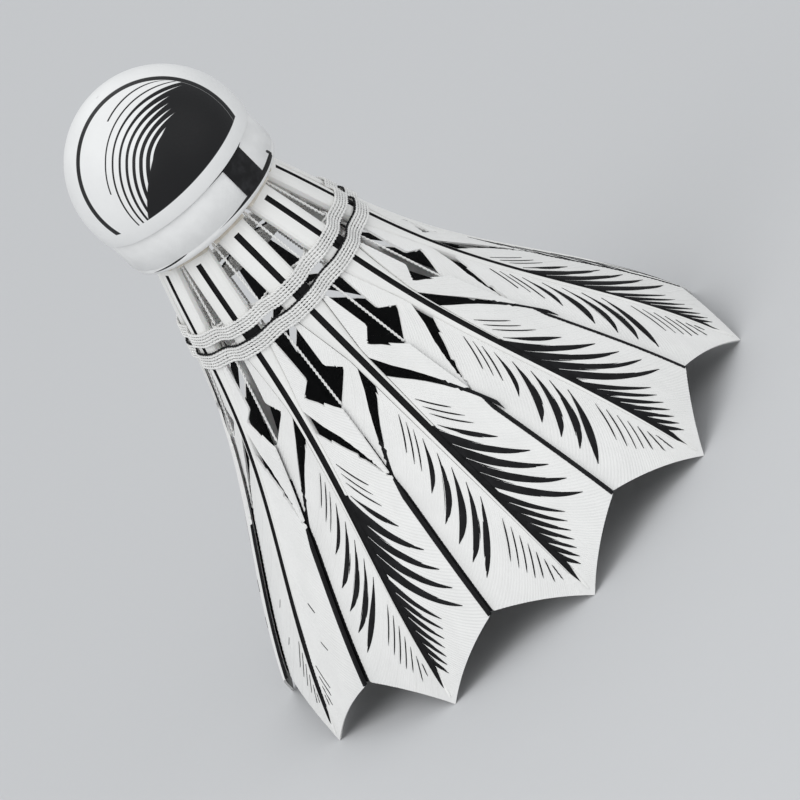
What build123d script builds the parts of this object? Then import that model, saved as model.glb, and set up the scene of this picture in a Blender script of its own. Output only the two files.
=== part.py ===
from build123d import *
from math import cos, pi, radians, sin, tan
import os

# Badminton shuttlecock, standing on its feather tips with the cork on top.
# Millimetres, +Z up, origin at the centre of the plane through the feather tips.
# Feather 01 points to -Y, and the feathers are numbered anticlockwise from above.

# ---- Driving dimensions: skirt ----
feather_count = 10
skirt_height = 62.7          # feather tips to the cork's underside
rim_radius = 40.0            # axis to the feather tips
quill_inset = 1.05           # ribbon's turned-in edge to the quills' outer faces
flare_swell = 1.5            # how far the bell bows from a straight cone
flare_place = 0.65           # where the bell is steepest, as a share of the way down

# ---- Driving dimensions: feather shaft ----
root_depth = 8.0             # quill inside its socket
root_width = 2.2
root_thickness = 1.5
quill_gap = 0.6              # cork left between two quills, at their inner corners
quill_thickness = 2.1        # at the cork's underside
bound_narrowing = 0.1        # how much narrower the shaft is at the lower binding
bound_thickness = 2.0
rachis_width = 2.1           # where the full vane begins
rachis_thickness = 1.7
rachis_end_width = 0.8
rachis_end_thickness = 0.8
rachis_end_height = 3.0      # shaft's end above the feather tips
groove_width = 0.75          # groove down the outer face, at the cork
groove_end_width = 0.5
groove_depth = 0.3
shaft_bevel = 0.16           # corner bevel, as a share of the shaft's thickness
section_step = 4.5           # height between the shaft's sections

# ---- Driving dimensions: vane ----
vane_thickness = 0.5
vane_setback = 0.3           # vane's outer face below the shaft's outer face
vane_lap = 4.0               # degrees that a vane runs under its neighbour
vane_tilt_offset = 1.3       # sideways shift that lifts one edge and tucks the other
vane_gap = 0.06              # vane to its shaft, filled by the barb roots
notch_height = 6.8           # scallop's crown above the feather tips
scallop_rise = 0.57          # share of the crown reached at scallop_place
scallop_place = 0.45         # share of the half pitch at which that rise is reached
strip_top_width = 2.9        # trimmed strip beside the shaft, at the lower binding
strip_end_width = 3.9
strip_length = 6.3           # binding to the strip's corner
window_step = 1.7            # strip's corner to the root of the vane
web_root_width = 2.1         # axis of the shaft to the root of the vane
window_point_drop = 3.8      # root of the vane down to the window's point
sliver_drop = 2.0            # root of the vane down to the sliver's top
sliver_mouth = 2.9           # sliver's height beside the shaft
sliver_shoulder = 0.35       # sliver's start beyond the shaft's flank
sliver_bend_width = 5.6      # shaft's axis to the place where the sliver is thin
sliver_bend_drop = 4.6       # sliver's mouth down to that place
sliver_thin = 0.45
sliver_run = 7.5             # from there down to the vane's edge

# ---- Driving dimensions: thread ----
binding_drop = 9.9           # cork's underside to the first binding
binding_width = 2.0
binding_pitch = 3.1
thread_thickness = 0.45
thread_clearance = 0.08      # thread to quill
thread_dip = 0.3             # how far the thread between two quills lies below their faces
thread_depth = 1.2           # radial thickness of the thread between two quills
stay_diameter = 0.4          # fine thread down the middle of each gap
stay_clearance = 0.15        # stay's ends to the cork, the bindings and the vanes

# ---- Driving dimensions: cork, skin and ribbon ----
dome_bulge = 0.4             # dome's outside beyond the ribbon's
skin_thickness = 0.4
ribbon_radius = 12.75        # over the ribbon
ribbon_thickness = 0.4
ribbon_height = 6.7          # cork's underside to the ribbon's upper edge
base_round = 1.5             # rounding of the cork's lower edge, over the ribbon
collar_height = 1.8          # straight part of the skin below the dome
nose_joint_height = 12.6     # cork's underside to the joint between its two halves
joint_glue = 0.2
glue_film = 0.02             # between wrapped layers
socket_clearance = 0.1
glue_bead_width = 0.3
glue_bead_height = 0.6
mark_start = 22.0            # degrees from the first feather to the ribbon's block
mark_span = 20.0
mark_thickness = 0.15

# ---- Places that follow from the driving dimensions ----
dome_radius = ribbon_radius + dome_bulge
lip_radius = ribbon_radius - base_round
cork_ring_radius = lip_radius - quill_inset
pitch = 360 / feather_count
half_pitch = pitch / 2
quill_room = (cork_ring_radius - quill_thickness) * tan(radians(half_pitch))
quill_width = 2 * quill_room - quill_gap / cos(radians(half_pitch))
bound_width = quill_width - bound_narrowing
upper_binding_top = skirt_height - binding_drop
lower_binding_top = upper_binding_top - binding_pitch
vane_top = lower_binding_top - binding_width - thread_clearance
strip_corner_height = vane_top - strip_length
web_root_height = strip_corner_height - window_step
window_point_height = web_root_height - window_point_drop
sliver_top_height = web_root_height - sliver_drop
sliver_mouth_height = sliver_top_height - sliver_mouth
sliver_bend_height = sliver_mouth_height - sliver_bend_drop
sliver_end_height = sliver_bend_height - sliver_run
dome_centre_height = skirt_height + ribbon_height + skin_thickness + collar_height
nose_joint = skirt_height + nose_joint_height
nose_radius = dome_radius - skin_thickness - glue_film
skin_radius = ribbon_radius - ribbon_thickness - glue_film
core_radius = skin_radius - skin_thickness - glue_film
skin_step = skirt_height + ribbon_height + skin_thickness
lip_height = skirt_height + base_round
stay_depth = thread_dip + thread_depth / 2
stay_seat_depth = vane_setback + vane_thickness / 2 - vane_tilt_offset * sin(radians(half_pitch))
reach = 2 * rim_radius


def skirt_radius(height):
    """Distance from the axis to the shafts' outer faces at this height."""
    way_down = 1 - height / skirt_height
    bow = sin(2 * pi * (way_down - flare_place)) + sin(2 * pi * flare_place)
    return cork_ring_radius + (rim_radius - cork_ring_radius) * way_down + flare_swell * bow


def blend(height, low, high):
    """Value at this height on the line between two (height, value) stations."""
    share = (height - low[0]) / (high[0] - low[0])
    return low[1] + share * (high[1] - low[1])


def along_shaft(height, root, quill, bound, rachis, end):
    """Value at this height, from its values at the shaft's five stations."""
    stations = [
        (rachis_end_height, end),
        (web_root_height, rachis),
        (vane_top, bound),
        (skirt_height, quill),
        (skirt_height + root_depth, root),
    ]
    for low, high in zip(stations, stations[1:]):
        if height <= high[0]:
            return blend(height, low, high)
    return root


def shaft_width(height):
    """Full width of the shaft at this height."""
    return along_shaft(height, root_width, quill_width, bound_width, rachis_width, rachis_end_width)


def shaft_thickness(height):
    """Radial thickness of the shaft at this height."""
    sizes = (root_thickness, quill_thickness, bound_thickness, rachis_thickness, rachis_end_thickness)
    return along_shaft(height, *sizes)


def levels(low, high):
    """Evenly spaced heights from low to high, about one section step apart."""
    count = max(1, round((high - low) / section_step))
    return [low + (high - low) * step / count for step in range(count + 1)]


def shaft_levels():
    """Heights of the shaft's sections, with one at each of its stations."""
    lower = levels(rachis_end_height, web_root_height)
    middle = levels(web_root_height, vane_top)
    upper = levels(vane_top, skirt_height)
    root = levels(skirt_height, skirt_height + root_depth)
    return lower + middle[1:] + upper[1:] + root[1:]


def shaft_section(height):
    """Corners of the grooved shaft at this height, for the feather that points to -Y."""
    half = shaft_width(height) / 2
    outer = -skirt_radius(height)
    inner = outer + shaft_thickness(height)
    bevel = shaft_bevel * shaft_thickness(height)
    groove_ends = (rachis_end_height, groove_end_width), (skirt_height, groove_width)
    groove = blend(height, *groove_ends) / 2
    return [
        (-half, outer + bevel),
        (-half + bevel, outer),
        (-groove, outer),
        (0, outer + groove_depth),
        (groove, outer),
        (half - bevel, outer),
        (half, outer + bevel),
        (half, inner - bevel),
        (half - bevel, inner),
        (-half + bevel, inner),
        (-half, inner - bevel),
    ]


def hole_section(height, clearance):
    """Corners of the hole that holds a shaft with a clearance all round."""
    half = shaft_width(height) / 2 + clearance
    outer = -skirt_radius(height) - clearance
    inner = -skirt_radius(height) + shaft_thickness(height) + clearance
    return [(-half, outer), (half, outer), (half, inner), (-half, inner)]


def hole_solid(low, high, clearance):
    """Loft of the space round one shaft between two heights."""
    between = [h for h in shaft_levels() if low < h < high]
    with BuildPart() as hole:
        for height in [low, *between, high]:
            with BuildSketch(Plane.XY.offset(height)):
                Polygon(*hole_section(height, clearance), align=None)
        loft(ruled=True)
    return hole.part


def write(piece, name):
    """Label a finished piece and write it to its own file."""
    piece.part.label = name
    export_step(piece.part, "parts/" + name + ".step")


os.makedirs("parts", exist_ok=True)


# ---- Feather shafts: quill, root and rachis in one tapered piece ----
with BuildPart() as shaft_pattern:
    for height in shaft_levels():
        with BuildSketch(Plane.XY.offset(height)):
            Polygon(*shaft_section(height), align=None)
    loft(ruled=True)

for number in range(feather_count):
    with BuildPart() as shaft:
        with Locations(Rotation(0, 0, number * pitch)):
            add(shaft_pattern.part)
    write(shaft, f"feather_{number + 1:02d}_shaft")


# ---- Feather vanes: one tilted sheet each, slit for the shaft ----
def sheet_curve(depth):
    """Points of the vane's face at this depth below the shafts' outer faces."""
    return [(vane_tilt_offset + skirt_radius(h) - depth, h) for h in levels(-section_step, vane_top)]


def half_outline(side):
    """Half a vane's outline, side +1 or -1, from the tip to its top at the binding."""
    edge = skirt_radius(notch_height) * sin(radians(half_pitch))
    corner = skirt_radius(window_point_height) * sin(radians(half_pitch))
    slope = window_point_drop / (corner - web_root_width)
    far = rim_radius * sin(radians(pitch))
    rise = (side * edge * scallop_place, notch_height * scallop_rise)
    with BuildSketch() as outline:
        with BuildLine():
            ThreePointArc((0, 0), rise, (side * edge, notch_height))
            Polyline(
                (side * edge, notch_height),
                (side * far, notch_height),
                (side * far, window_point_height - slope * (far - corner)),
                (side * web_root_width, web_root_height),
                (side * strip_end_width, strip_corner_height),
                (side * strip_top_width, vane_top),
                (0, vane_top),
                (0, 0),
            )
        make_face()
    return outline.sketch


def sliver(side):
    """Curved slit between a vane's root web and its main web."""
    start = shaft_width(sliver_top_height) / 2 + sliver_shoulder
    edge = skirt_radius(sliver_end_height) * sin(radians(half_pitch)) + sliver_thin
    thin = sliver_thin / 2
    with BuildSketch() as slit:
        with BuildLine():
            ThreePointArc(
                (side * start, sliver_top_height),
                (side * (sliver_bend_width + thin), sliver_bend_height + thin),
                (side * (edge + sliver_thin), sliver_end_height),
            )
            Line((side * (edge + sliver_thin), sliver_end_height), (side * edge, sliver_end_height))
            ThreePointArc(
                (side * edge, sliver_end_height),
                (side * (sliver_bend_width - thin), sliver_bend_height - thin),
                (side * start, sliver_mouth_height),
            )
            Line((side * start, sliver_mouth_height), (side * start, sliver_top_height))
        make_face()
    return slit.sketch


def shaft_slit():
    """Slit along the vane's middle that the shaft lies in."""
    slit_levels = [h for h in shaft_levels() if h < vane_top] + [vane_top + vane_gap]
    flank = [(shaft_width(h) / 2 + vane_gap, h) for h in slit_levels]
    with BuildSketch() as slit:
        with BuildLine():
            Polyline(*flank, *[(-x, h) for x, h in reversed(flank)], close=True)
        make_face()
    return slit.sketch


with BuildPart() as vane_pattern:
    with BuildSketch(Plane.XZ):
        with BuildLine():
            face = Spline(*sheet_curve(vane_setback))
            back = Spline(*sheet_curve(vane_setback + vane_thickness))
            Line(face @ 0, back @ 0)
            Line(face @ 1, back @ 1)
        make_face()
    revolve(axis=Axis((vane_tilt_offset, 0, 0), (0, 0, 1)))
    with BuildSketch(Plane.XZ):
        add(half_outline(1))
        add(half_outline(-1))
        add(shaft_slit(), mode=Mode.SUBTRACT)
        add(sliver(1), mode=Mode.SUBTRACT)
        add(sliver(-1), mode=Mode.SUBTRACT)
    extrude(amount=reach, mode=Mode.INTERSECT)
    with BuildSketch(Plane.XY.offset(-section_step)):
        lead = radians(half_pitch)
        trail = radians(half_pitch + vane_lap)
        Polygon(
            (0, 0),
            (-reach * sin(trail), -reach * cos(trail)),
            (reach * sin(lead), -reach * cos(lead)),
            align=None,
        )
    extrude(amount=skirt_height + section_step, mode=Mode.INTERSECT)

for number in range(feather_count):
    with BuildPart() as vane:
        with Locations(Rotation(0, 0, number * pitch)):
            add(vane_pattern.part)
    write(vane, f"feather_{number + 1:02d}_vane")


# ---- Thread bindings: wound round every quill, with a stretch from each to the next ----
def thread_stretch(low, high):
    """Section of the ring of thread between the quills."""
    outer = [(skirt_radius(h) - thread_dip, h) for h in (low, high)]
    inner = [(skirt_radius(h) - thread_dip - thread_depth, h) for h in (high, low)]
    return outer + inner


for name, top in (("binding_upper", upper_binding_top), ("binding_lower", lower_binding_top)):
    low = top - binding_width
    winding = hole_solid(low, top, thread_clearance + thread_thickness)
    quill_space = hole_solid(low - thread_thickness, top + thread_thickness, thread_clearance)
    with BuildPart() as binding:
        with BuildSketch(Plane.XZ):
            Polygon(*thread_stretch(low, top), align=None)
        revolve(axis=Axis.Z)
        with PolarLocations(0, feather_count):
            add(winding)
        with PolarLocations(0, feather_count):
            add(quill_space, mode=Mode.SUBTRACT)
    write(binding, name)


# ---- Stays: a fine thread down the middle of each gap between two feathers ----
def stay(low, high, low_depth, high_depth):
    """One straight thread between two heights, in the gap beside the first feather."""
    turn = radians(half_pitch)
    foot = skirt_radius(low) - low_depth
    head = skirt_radius(high) - high_depth
    start = Vector(foot * sin(turn), -foot * cos(turn), low)
    finish = Vector(head * sin(turn), -head * cos(turn), high)
    with BuildPart() as thread:
        with BuildSketch(Plane(start, z_dir=finish - start)):
            Circle(stay_diameter / 2)
        extrude(amount=(finish - start).length)
    return thread.part


upper_stay_low = upper_binding_top + stay_clearance
upper_stay = stay(upper_stay_low, skirt_height - stay_clearance, stay_depth, stay_depth)
lower_stay_high = lower_binding_top - binding_width - stay_clearance
lower_stay_low = window_point_height + stay_diameter + stay_clearance
lower_stay = stay(lower_stay_low, lower_stay_high, stay_seat_depth, stay_depth)

for name, thread in (("stays_upper", upper_stay), ("stays_lower", lower_stay)):
    with BuildPart() as stays:
        with PolarLocations(0, feather_count):
            add(thread)
    write(stays, name)


# ---- Cork body: the half that holds the quills ----
def arc_width(radius, height):
    """Half-width of the dome's circle of this radius at this height."""
    return (radius**2 - (height - dome_centre_height) ** 2) ** 0.5


def on_dome(radius, height):
    """Point of the dome's circle of this radius at this height."""
    return (arc_width(radius, height), height)


socket = hole_solid(skirt_height - base_round, skirt_height + root_depth + socket_clearance, socket_clearance)
lip_round = ribbon_radius - ribbon_thickness - glue_film - lip_radius
lip_floor = lip_height - lip_round

with BuildPart() as cork_body:
    with BuildSketch(Plane.XZ):
        with BuildLine():
            Polyline(
                (0, skirt_height),
                (lip_radius - glue_film, skirt_height),
                (lip_radius - glue_film, lip_floor),
                (lip_radius, lip_floor),
            )
            RadiusArc((lip_radius, lip_floor), (lip_radius + lip_round, lip_height), -lip_round)
            Polyline(
                (lip_radius + lip_round, lip_height),
                (core_radius, lip_height),
                (core_radius, skin_step),
                (nose_radius, skin_step),
                (nose_radius, dome_centre_height),
            )
            middle = (dome_centre_height + nose_joint) / 2
            ThreePointArc(
                (nose_radius, dome_centre_height),
                on_dome(nose_radius, middle),
                on_dome(nose_radius, nose_joint),
            )
            Polyline(on_dome(nose_radius, nose_joint), (0, nose_joint), (0, skirt_height))
        make_face()
    revolve(axis=Axis.Z)
    with PolarLocations(0, feather_count):
        add(socket, mode=Mode.SUBTRACT)
write(cork_body, "cork_body")


# ---- Cork nose: the rounded half that the racket strikes, and the glue below it ----
def dome_slice(radius, low):
    """Section of the dome from this height to its top."""
    top = dome_centre_height + radius
    with BuildSketch() as section:
        with BuildLine():
            Line((0, low), on_dome(radius, low))
            ThreePointArc(on_dome(radius, low), on_dome(radius, (low + top) / 2), (0, top))
            Line((0, top), (0, low))
        make_face()
    return section.sketch


with BuildPart() as cork_nose:
    with BuildSketch(Plane.XZ):
        add(dome_slice(nose_radius, nose_joint + joint_glue))
    revolve(axis=Axis.Z)
write(cork_nose, "cork_nose")

with BuildPart() as cork_joint_glue:
    with BuildSketch(Plane.XY.offset(nose_joint)):
        Circle(arc_width(nose_radius, nose_joint + joint_glue))
    extrude(amount=joint_glue)
write(cork_joint_glue, "cork_joint_glue")


# ---- Skin: one thin cover over the dome and down to the ribbon's seat ----
inner_dome = dome_radius - skin_thickness

with BuildPart() as cork_skin:
    with BuildSketch(Plane.XZ):
        add(dome_slice(dome_radius, dome_centre_height))
        add(dome_slice(inner_dome, dome_centre_height), mode=Mode.SUBTRACT)
        with BuildLine():
            Polyline(
                (inner_dome, dome_centre_height),
                (inner_dome, skin_step),
                (skin_radius - skin_thickness, skin_step),
                (skin_radius - skin_thickness, lip_height + glue_film),
                (skin_radius, lip_height + glue_film),
                (skin_radius, skin_step - skin_thickness),
                (dome_radius, skin_step - skin_thickness),
                (dome_radius, dome_centre_height),
                close=True,
            )
        make_face()
    revolve(axis=Axis.Z)
write(cork_skin, "cork_skin")


# ---- Ribbon: wrapped round the cork's side and turned in under its lower edge ----
ribbon_top = skirt_height + ribbon_height

with BuildPart() as ribbon:
    with BuildSketch(Plane.XZ):
        with BuildLine():
            Line((ribbon_radius, ribbon_top), (ribbon_radius, lip_height))
            RadiusArc((ribbon_radius, lip_height), (lip_radius, skirt_height), base_round)
            Line((lip_radius, skirt_height), (lip_radius, skirt_height + ribbon_thickness))
            RadiusArc(
                (lip_radius, skirt_height + ribbon_thickness),
                (ribbon_radius - ribbon_thickness, lip_height),
                ribbon_thickness - base_round,
            )
            Polyline(
                (ribbon_radius - ribbon_thickness, lip_height),
                (ribbon_radius - ribbon_thickness, ribbon_top),
                (ribbon_radius, ribbon_top),
            )
        make_face()
    revolve(axis=Axis.Z)
write(ribbon, "ribbon")


# ---- Ribbon block: a plain dark patch on the ribbon ----
mark_turn = radians(mark_start)
mark_plane = Plane(
    (0, 0, 0),
    x_dir=(sin(mark_turn), -cos(mark_turn), 0),
    z_dir=(-cos(mark_turn), -sin(mark_turn), 0),
)

with BuildPart() as ribbon_block:
    with BuildSketch(mark_plane):
        Polygon(
            (ribbon_radius + glue_film, lip_height),
            (ribbon_radius + mark_thickness, lip_height),
            (ribbon_radius + mark_thickness, ribbon_top),
            (ribbon_radius + glue_film, ribbon_top),
            align=None,
        )
    revolve(axis=Axis.Z, revolution_arc=mark_span)
write(ribbon_block, "ribbon_block")


# ---- Glue beads: a collar of glue round each quill at the cork's underside ----
bead_low = skirt_height - glue_bead_height
bead = hole_solid(bead_low, skirt_height, thread_clearance + glue_bead_width)
bead_space = hole_solid(bead_low - glue_bead_width, skirt_height + glue_bead_width, thread_clearance)

with BuildPart() as glue_beads:
    with PolarLocations(0, feather_count):
        add(bead)
    with PolarLocations(0, feather_count):
        add(bead_space, mode=Mode.SUBTRACT)
write(glue_beads, "glue_beads")
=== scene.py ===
"""Badminton shuttlecock: the looks of its feathers, thread, cork and ribbon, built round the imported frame."""

import random
from math import acos, cos, log, pi, radians, sin, sqrt

import bmesh
import bpy
from bpy.props import FloatProperty, FloatVectorProperty, IntProperty, PointerProperty
from mathutils import Matrix, Vector


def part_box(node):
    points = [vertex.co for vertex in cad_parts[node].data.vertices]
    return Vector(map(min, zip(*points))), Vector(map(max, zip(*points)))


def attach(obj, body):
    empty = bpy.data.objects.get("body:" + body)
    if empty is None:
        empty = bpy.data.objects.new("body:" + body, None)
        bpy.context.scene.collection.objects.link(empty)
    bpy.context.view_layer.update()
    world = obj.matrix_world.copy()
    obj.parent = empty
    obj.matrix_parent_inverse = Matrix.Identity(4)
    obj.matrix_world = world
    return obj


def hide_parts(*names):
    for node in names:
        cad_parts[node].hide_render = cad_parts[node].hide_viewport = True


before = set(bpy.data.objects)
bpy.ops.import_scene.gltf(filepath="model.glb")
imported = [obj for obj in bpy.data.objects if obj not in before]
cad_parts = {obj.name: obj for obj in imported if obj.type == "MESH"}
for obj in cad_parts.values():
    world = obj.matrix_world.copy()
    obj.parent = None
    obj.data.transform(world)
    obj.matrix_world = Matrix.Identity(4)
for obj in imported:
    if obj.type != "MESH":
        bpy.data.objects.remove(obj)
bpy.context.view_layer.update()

bl_info = {
    "name": "Shuttlecock Dresser",
    "version": (1, 0, 0),
    "blender": (4, 5, 0),
    "location": "View3D > Sidebar > Shuttlecock",
    "description": "Builds a shuttlecock's feathers, thread, cork skin and ribbon on a packed frame",
    "category": "Add Mesh",
}


# ---- Settings ----
def length(name, description, default):
    """A length that the user can change, in metres."""
    return FloatProperty(name=name, description=description, default=default, unit="LENGTH", precision=5)


def angle(name, description, default):
    """An angle that the user can change, given in degrees and kept in radians."""
    return FloatProperty(name=name, description=description, default=radians(default), subtype="ANGLE")


def colour(name, description, default):
    """A colour that the user can change."""
    return FloatVectorProperty(
        name=name, description=description, default=default, subtype="COLOR", size=3, min=0, max=1
    )


def share(name, description, default):
    """A plain factor that the user can change."""
    return FloatProperty(name=name, description=description, default=default, precision=4)


class SkirtSettings(bpy.types.PropertyGroup):
    """Form of the bell that the feathers make"""

    feathers: IntProperty(name="Feathers", description="Feathers round the skirt", default=10)
    height: length("Height", "Feather tips to the cork's underside", 0.0627)
    rim: length("Rim", "Axis to the feather tips", 0.040)
    ring: length("Quill ring", "Axis to the quills' outer faces at the cork", 0.0102)
    swell: length("Swell", "How far the bell bows from a straight cone", 0.0015)
    swell_place: share("Swell place", "Where the bell is steepest, as a share of the way down", 0.65)
    tilt_offset: length("Tilt offset", "Sideways shift that lifts a vane's leading edge", 0.0013)
    lap: angle("Lap", "How far a vane runs under its neighbour", 4.0)


class VaneSettings(bpy.types.PropertyGroup):
    """Outline of a vane and the barbs that it is made of"""

    setback: length("Setback", "Vane's outer face below the shaft's", 0.0003)
    thickness: length("Thickness", "Vane's thickness", 0.0003)
    gap: length("Gap", "Vane to its shaft", 0.00003)
    notch: length("Notch", "Height of the scallop's crown", 0.0068)
    rise: share("Rise", "Share of the crown reached at the rise place", 0.57)
    rise_place: share("Rise place", "Share of the half width where that is reached", 0.45)
    strip_top: length("Strip top", "Trimmed strip's half width at the binding", 0.0029)
    strip_end: length("Strip end", "Trimmed strip's half width at its corner", 0.0039)
    strip_length: length("Strip length", "Binding to the strip's corner", 0.0063)
    window_step: length("Window step", "Strip's corner to the root of the vane", 0.0017)
    root_width: length("Root width", "Shaft's axis to the root of the vane", 0.0021)
    point_drop: length("Window point", "Root of the vane down to the window's point", 0.0038)
    sliver_drop: length("Sliver drop", "Root of the vane down to the sliver", 0.0020)
    sliver_mouth: length("Sliver mouth", "Sliver's height beside the shaft", 0.0029)
    sliver_shoulder: length("Sliver shoulder", "Sliver's start beyond the shaft", 0.00035)
    sliver_bend: length("Sliver bend", "Shaft's axis to where the sliver is thin", 0.0056)
    sliver_bend_drop: length("Sliver bend drop", "Sliver's mouth down to that place", 0.0046)
    sliver_thin: length("Sliver thin", "Sliver's width where it is thin", 0.00045)
    sliver_run: length("Sliver run", "From there down to the vane's edge", 0.0075)
    sliver_close: length("Sliver close", "How far a closed sliver stops short of the vane's edge", 0.0015)
    # The seam and the dark tucked margin are painted shadow under the neighbour's edge.
    seam: length("Seam", "Dark margin of a vane beside its neighbour's edge", 0.00022)
    # The edge band is painted shadow along the leading edge.
    shadow_rim_band: length("Edge band", "Dark band along a vane's leading edge", 0.00042)
    # The tail is a backing of painted shade behind an open sliver.
    tail_length: length("Tail length", "Length of the dark backing behind an open sliver's thin end", 0.0034)
    tail_margin: length("Tail margin", "How far that backing reaches behind the barbs", 0.00015)
    seam_start: length("Seam start", "Sliver's end up to the seam's point", 0.0034)
    tuck_start: length("Tuck start", "Sliver's end up to the top of the dark tucked margin", 0.0090)
    seam_open: length("Seam opening", "Neighbour's edge to where it would end in the CAD", 0.00010)
    barb_pitch: length("Barb pitch", "From one barb to the next, along the shaft", 0.00046)
    ridge: length("Ridge", "Height of a barb's ridge", 0.00005)
    barb_angle: angle("Barb angle", "Barb to shaft, at the shaft", 25.0)
    barb_turn: share("Barb turn", "How fast a barb turns outward, in radians per metre", 65.4)


class StreakSettings(bpy.types.PropertyGroup):
    """Dark barbs beside each shaft: painted shade laid on as barb strokes"""

    lift: length("Lift", "Height of a dark barb above the vane", 0.00006)
    detach: length("Detach", "Shaft's axis to the start of a barb that stands clear of it", 0.0015)
    bold_count: IntProperty(name="Bold barbs", description="Long bold barbs on each side", default=5)
    bold_first: length("First bold", "Height of the first bold barb's root", 0.0295)
    bold_step: length("Bold step", "From one bold barb to the next", 0.00235)
    bold_width: length("Bold width", "Width of a bold barb", 0.00090)
    bold_start: length("Bold start", "How far the first bold barb reaches", 0.0056)
    bold_reach: length("Bold reach", "How far the last bold barb reaches", 0.0087)
    bold_bow: length("Bold bow", "Extra bow of a bold barb on the trailing side", 0.0004)
    trail_rise: length("Trailing rise", "How much higher the bold barbs start on the trailing side", 0.0006)
    fine_count: IntProperty(name="Fine barbs", description="Short barbs towards the tip", default=7)
    fine_first: length("First fine", "Height of the first fine barb's root", 0.0172)
    fine_step: length("Fine step", "From one fine barb to the next", 0.00170)
    fine_width: length("Fine width", "Width of a fine barb where it joins the shaft", 0.00085)
    fine_reach: length("Fine reach", "How far the first fine barb reaches", 0.0050)
    fine_fall: length("Fine fall", "How much shorter each fine barb is than the one before", 0.00055)
    fine_hair_step: length("Fine hair step", "From one fine barb to the next on the trailing side", 0.00142)
    faint_first: IntProperty(name="First faint", description="First of the two faintly marked feathers", default=8)
    hair_count: IntProperty(name="Hair barbs", description="Hair-thin barbs above the bold ones", default=3)
    hair_first: length("First hair", "Height of the first hair-thin barb's root", 0.0340)
    hair_step: length("Hair step", "From one hair-thin barb to the next", 0.00120)
    hair_width: length("Hair width", "Width of a hair-thin barb", 0.00019)
    hair_reach: length("Hair reach", "How far a hair-thin barb reaches", 0.0043)
    # Painted shade darkens the shaft's leading half below this height.
    painted_shade_top: length("Dark top", "Height up to which the shaft's leading half is dark", 0.0276)
    seed: IntProperty(name="Seed", description="Seed of the feathers' small differences", default=7)


class ShaftSettings(bpy.types.PropertyGroup):
    """Quill and rachis"""

    root_depth: length("Root depth", "Quill inside its socket", 0.0080)
    root_width: length("Root width", "Width at the root's end", 0.0022)
    root_thickness: length("Root thickness", "Thickness at the root's end", 0.0015)
    quill_width: length("Quill width", "Width at the cork", 0.00463)
    quill_thickness: length("Quill thickness", "Thickness at the cork", 0.0021)
    bound_width: length("Bound width", "Width at the lower binding", 0.00453)
    bound_thickness: length("Bound thickness", "Thickness at the lower binding", 0.0020)
    rachis_width: length("Rachis width", "Width where the vane begins", 0.0021)
    rachis_thickness: length("Rachis thickness", "Thickness where the vane begins", 0.0017)
    end_width: length("End width", "Width where the shaft starts its point", 0.0008)
    end_thickness: length("End thickness", "Thickness where the shaft starts its point", 0.0008)
    end_height: length("End height", "Start of the shaft's point above the tips", 0.0030)
    point_height: length("Point height", "The shaft's very end above the tips", 0.0012)
    # The groove's dark line is painted shade in the groove.
    line_width: length("Line width", "Dark groove down the shaft", 0.00090)
    line_shift: length("Line shift", "Shaft's middle to the groove's middle, towards the leading side", 0.00012)
    line_end: length("Line end", "Lower end of the dark groove above the tips", 0.0024)
    line_start: length("Line start", "Cork's underside to the top of the dark groove", 0.0016)
    groove: length("Groove depth", "Depth of that groove", 0.00026)


class ThreadSettings(bpy.types.PropertyGroup):
    """Bindings and stays"""

    drop: length("Drop", "Cork's underside to the first binding", 0.0099)
    width: length("Width", "Height of one binding", 0.0020)
    pitch: length("Pitch", "From one binding to the next", 0.0031)
    turns: IntProperty(name="Turns", description="Turns of thread in a binding", default=5)
    ply: length("Ply", "Radius of one of the thread's two plies", 0.00012)
    twist: length("Twist", "Length of one turn of the two plies", 0.0011)
    clearance: length("Clearance", "Thread to quill", 0.00006)
    dip: length("Dip", "Thread below the quills' faces, between two quills", 0.0008)
    stay_ply: length("Stay ply", "Radius of one of a stay's two plies", 0.00011)


class CorkSettings(bpy.types.PropertyGroup):
    """Skin, print with its painted shade, and ribbon"""

    skin: length("Skin", "Thickness of the skin", 0.0004)
    edge_round: length("Edge round", "Rounding of the skin's lower edge", 0.00010)
    ring_angle: angle("Ring angle", "Half angle of the printed ring", 56.3)
    ring_line: angle("Ring line", "Width of the printed ring's line", 4.2)
    ring_rise: angle("Ring rise", "How far the ring's middle lies above the collar", 21.3)
    # The dark part and the hatching arcs are painted shade on the dome.
    painted_shade_angle: angle("Dark angle", "Half angle of the dark part of the print", 64.0)
    painted_shade_turn: angle("Dark turn", "Turn of the dark part's middle from the first feather", 29.0)
    painted_shade_rise: angle("Dark rise", "Rise of the dark part's middle above the collar", -30.0)
    hatch_start: length("Hatch start", "Dome's axis to the middle of the first hatching arc", 0.00753)
    hatch_bend: length("Hatch bend", "Radius of the hatching arcs", 0.0109)
    hatch_step: length("Hatch step", "From one hatching arc to the next", 0.00094)
    block_start: angle("Block start", "First feather to the ribbon's block", 22.0)
    block_span: angle("Block span", "Width of the ribbon's block", 20.0)


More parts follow.
